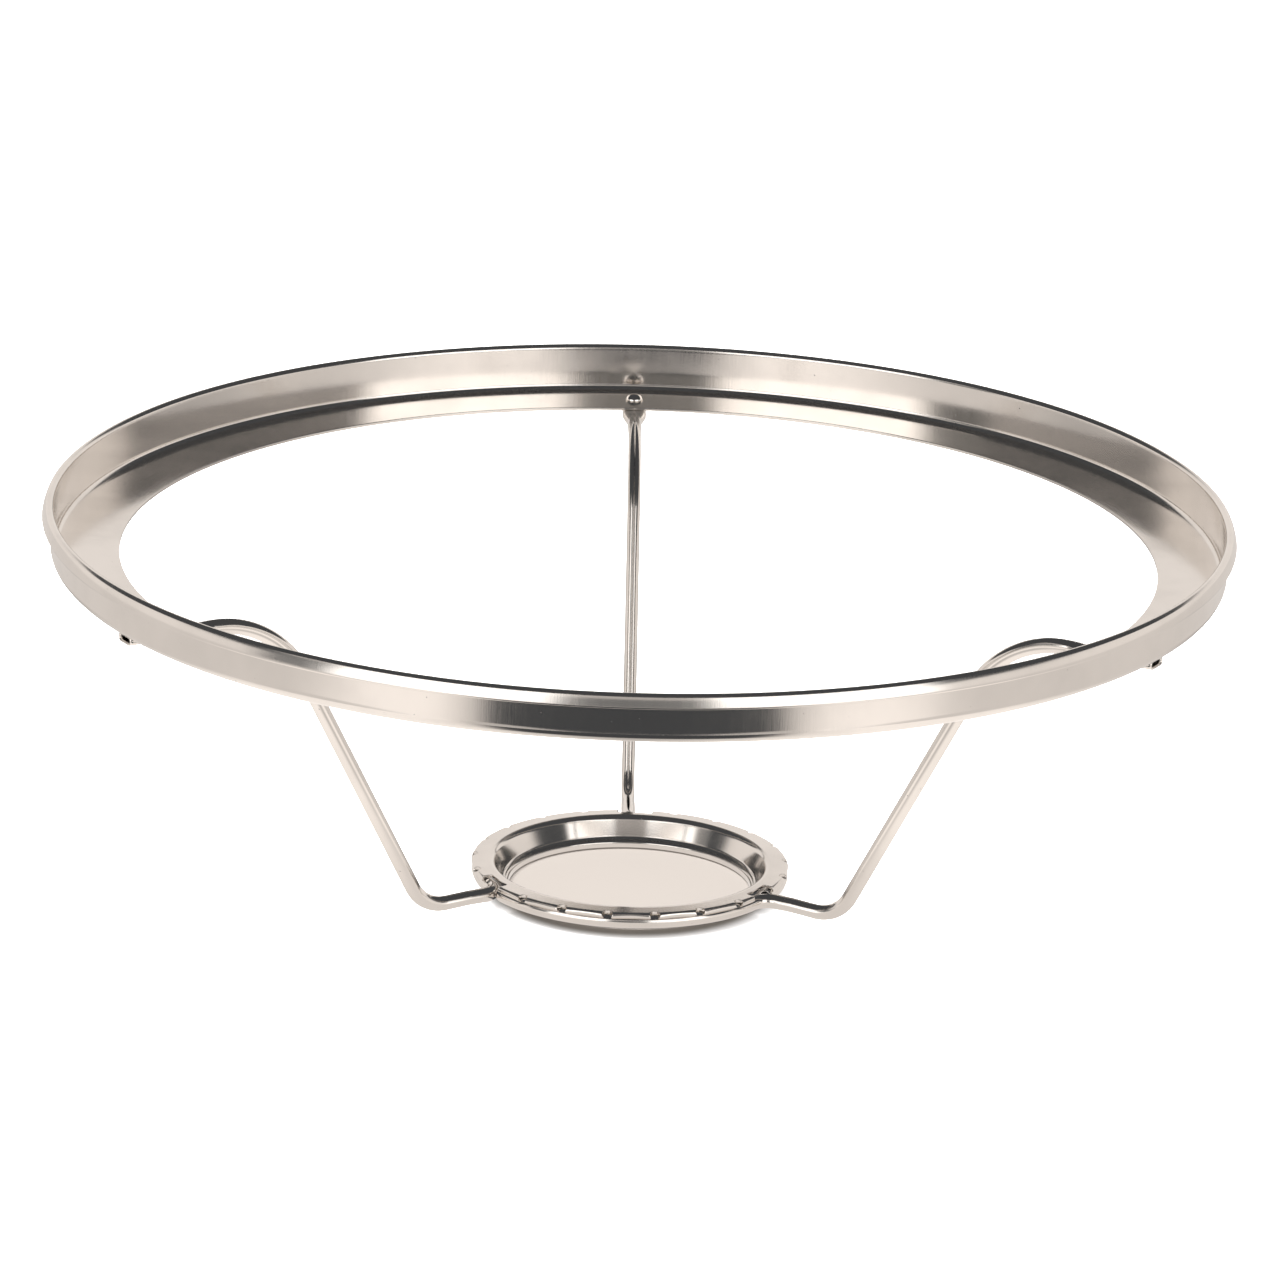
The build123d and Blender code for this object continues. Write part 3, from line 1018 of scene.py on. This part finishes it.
def make_table_mirrored():
    """The table top as the plate mirrors it, a glowing plane with painted light and shade: beige,
    white where the soft boxes fall on it, and dark in a wedge towards the camera. Only reflections see
    it."""
    table = plane("table_mirrored", STAGE_HALF, TABLE_Z)
    table.visible_camera = False
    table.visible_diffuse = False
    table.visible_shadow = False
    material = bpy.data.materials.new("table_top")
    material.use_nodes = True
    g = Graph(material.node_tree)
    place = g.node("ShaderNodeTexCoord").outputs["Object"]
    parts = g.node("ShaderNodeSeparateXYZ", Vector=place).outputs
    nearer = g.math("MULTIPLY", parts["Y"], -1.0)
    aside = g.math("ABSOLUTE", parts["X"])
    # A pool of light runs outwards and forwards on each side; off_pool is the distance from it
    pool_aside = g.math("MULTIPLY", g.math("SUBTRACT", aside, POOL_START), POOL_NORMAL[0])
    pool_nearer = g.math("MULTIPLY", g.math("SUBTRACT", nearer, POOL_START), POOL_NORMAL[1])
    off_pool = g.math("SUBTRACT", pool_aside, pool_nearer)
    lit = g.mix(g.ramp(off_pool, *POOL_RISE), *[warm(level) for level in POOL_LEVELS[:2]])
    lit = g.mix(g.ramp(off_pool, *POOL_FALL), lit, warm(POOL_LEVELS[2]))
    squares = [g.math("POWER", part, 2.0) for part in (aside, nearer)]
    radius = g.math("SQRT", g.math("ADD", *squares))
    behind = g.ramp(nearer, *BEHIND_FADE, 1.0, 0.0)
    behind = g.math("MULTIPLY", behind, g.ramp(radius, *BEHIND_REACH, 1.0, 0.0))
    shaded = g.mix(behind, lit, warm(BEHIND_LEVEL))
    near_ring = g.ramp(radius, *NEAR_RING, 1.0, 0.0)
    shaded = g.mix(near_ring, shaded, warm(NEAR_LEVEL))
    under_ring = g.band(radius, *UNDER_RING, UNDER_SOFT)
    shaded = g.mix(under_ring, shaded, DARK)
    wedge = g.ramp(nearer, *WEDGE_RUN, *WEDGE_WIDTHS, smooth=False)
    past_wedge = g.math("SUBTRACT", aside, wedge)
    inside = g.ramp(past_wedge, *WEDGE_SOFT, 1.0, 0.0)
    inside = g.math("MULTIPLY", inside, g.ramp(nearer, *WEDGE_START))
    inside = g.math("MULTIPLY", inside, g.ramp(nearer, *WEDGE_END, 1.0, 0.0))
    colour = g.mix(inside, shaded, DARK)
    glow = g.node("ShaderNodeEmission", Color=colour, Strength=1.0)
    output = g.node("ShaderNodeOutputMaterial")
    g.feed(output.inputs["Surface"], glow.outputs[0])
    table.data.materials.append(material)


def make_key_light():
    """A large soft light for the floor. The plate mirrors the surroundings and not this light."""
    light = bpy.data.lights.new("overhead", "AREA")
    light.shape = "DISK"
    light.size = KEY_SIZE
    light.energy = KEY_ENERGY
    lamp = bpy.data.objects.new("overhead", light)
    lamp.location = KEY_SPOT
    lamp.rotation_mode = "QUATERNION"
    lamp.rotation_quaternion = (-lamp.location).to_track_quat("-Z", "Y")
    lamp.visible_glossy = False
    lamp.visible_camera = False
    bpy.context.scene.collection.objects.link(lamp)


make_surroundings()
make_floor()
make_table_mirrored()
make_key_light()
bpy.context.scene.view_settings.view_transform = "Standard"

bpy.context.view_layer.update()
